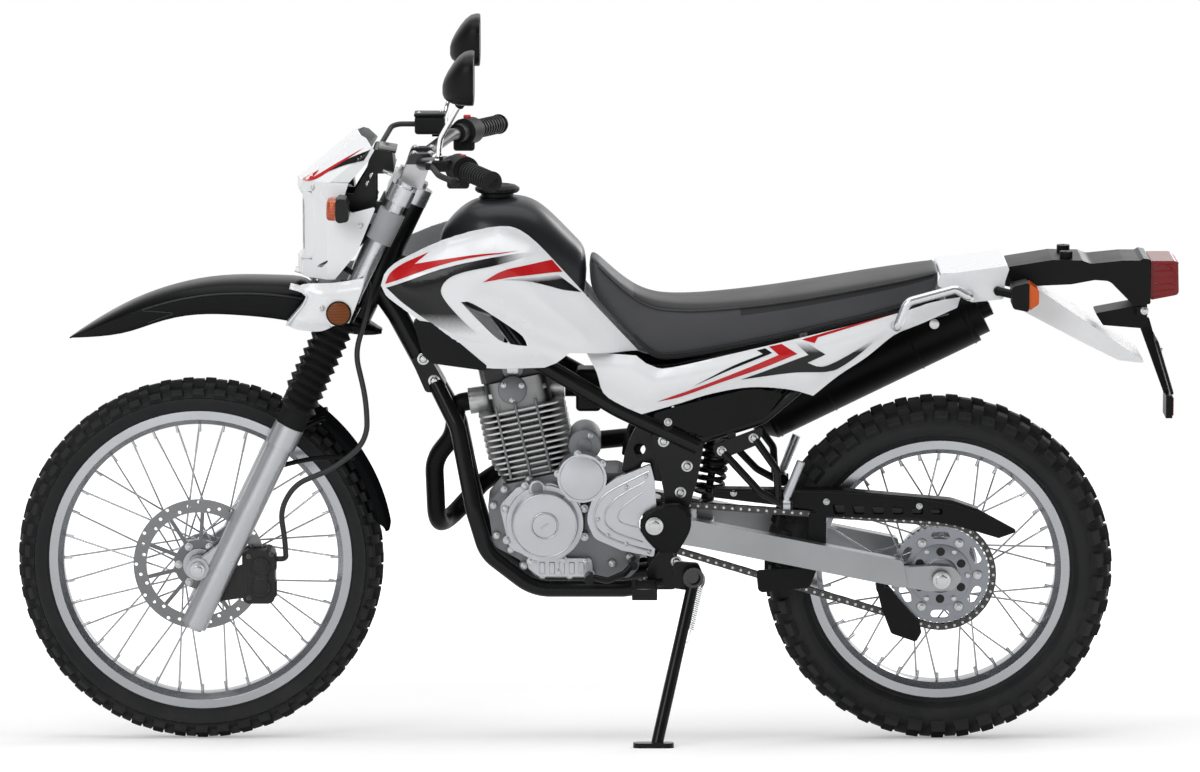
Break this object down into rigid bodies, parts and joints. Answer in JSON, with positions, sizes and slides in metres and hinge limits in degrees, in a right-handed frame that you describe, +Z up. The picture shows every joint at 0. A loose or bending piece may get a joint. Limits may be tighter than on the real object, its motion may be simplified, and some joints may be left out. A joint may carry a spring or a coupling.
{
  "type": "dual sport motorcycle",
  "caption": "Dual sport motorcycle with wire wheels, high front fender, open engine, chain drive, steering, spinning wheels and a folding side stand that it leans on.",
  "frame": {"origin": "on the floor under the middle of the part's box", "axes": "-X to the front wheel, +Y to the rider's right, +Z up; the bike leans 8 degrees to -Y on its side stand"},
  "size_m": [2.1288, 0.819, 1.3464],
  "materials": {
    "frame_black": "satin",
    "silver_metal": "satin",
    "rubber": "matte",
    "tyre": "matte",
    "white_plastic": "gloss",
    "black_plastic": "matte",
    "engine_grey": "satin",
    "seat_vinyl": "matte",
    "lens_amber": "gloss",
    "lens_red": "gloss",
    "steel": "satin",
    "dark_paint": "gloss",
    "grey_tube": "satin"
  },
  "bodies": {
    "root": {"chain": "steel", "chain_guards": "black_plastic", "crankcase": "engine_grey", "cylinder": "engine_grey", "dark_panels": "black_plastic", "engine_covers": "engine_grey", "engine_cradle": "frame_black", "exhaust": "frame_black", "foot_controls": "steel", "fuel_tank": "dark_paint", "grab_bars": "grey_tube", "intake": "black_plastic", "main_frame": "frame_black", "peg_hangers": "frame_black", "rear_lenses": "lens_red", "seat": "seat_vinyl", "shock": "frame_black", "side_covers": "white_plastic", "swingarm": "silver_metal", "tail_covers": "white_plastic", "tail_unit": "black_plastic", "tank_shrouds": "white_plastic"},
    "steering": {"fork_sliders": "silver_metal", "fork_boots": "rubber", "triple_clamps": "silver_metal", "handlebar": "frame_black", "bar_controls": "black_plastic", "mirrors": "black_plastic", "headlight_mask": "white_plastic", "lamp_bracket": "black_plastic", "front_lenses": "lens_amber", "front_fenders": "black_plastic", "fender_bridge": "white_plastic", "brake_caliper": "dark_paint", "brake_hose": "rubber"},
    "front_wheel": {"front_tyre": "tyre", "front_rim": "silver_metal", "front_hub": "silver_metal", "front_disc": "steel"},
    "rear_wheel": {"rear_tyre": "tyre", "rear_rim": "silver_metal", "rear_hub": "silver_metal", "rear_sprocket": "steel"},
    "side_stand": {"side_stand": "grey_tube"},
    "passenger_peg_left": {"passenger_peg_left": "steel"},
    "passenger_peg_right": {"passenger_peg_right": "steel"}
  },
  "joints": [
    {"name": "steering", "type": "hinge", "parent": "root", "child": "steering", "pos_m": [-0.42427, 0.0381, 0.81262], "axis": [0.4337, -0.1254, 0.8923], "range_deg": [-42, 42]},
    {"name": "front_wheel_spin", "type": "hinge", "parent": "steering", "child": "front_wheel", "pos_m": [-0.72739, 0.10522, 0.33506], "axis": [0, 0.9903, 0.1392], "continuous": true},
    {"name": "rear_wheel_spin", "type": "hinge", "parent": "root", "child": "rear_wheel", "pos_m": [0.63261, 0.10745, 0.31922], "axis": [0, 0.9903, 0.1392], "continuous": true},
    {"name": "side_stand_fold", "type": "hinge", "parent": "root", "child": "side_stand", "pos_m": [0.18061, -0.01648, 0.30281], "axis": [0.2322, 0.9374, -0.2597], "range_deg": [-112, 0]},
    {"name": "passenger_peg_left_fold", "type": "hinge", "parent": "root", "child": "passenger_peg_left", "pos_m": [0.34861, -0.04784, 0.43978], "axis": [1, 0, 0], "range_deg": [0, 85]},
    {"name": "passenger_peg_right_fold", "type": "hinge", "parent": "root", "child": "passenger_peg_right", "pos_m": [0.34861, 0.22349, 0.47791], "axis": [-1, 0, 0], "range_deg": [0, 85]}
  ]
}
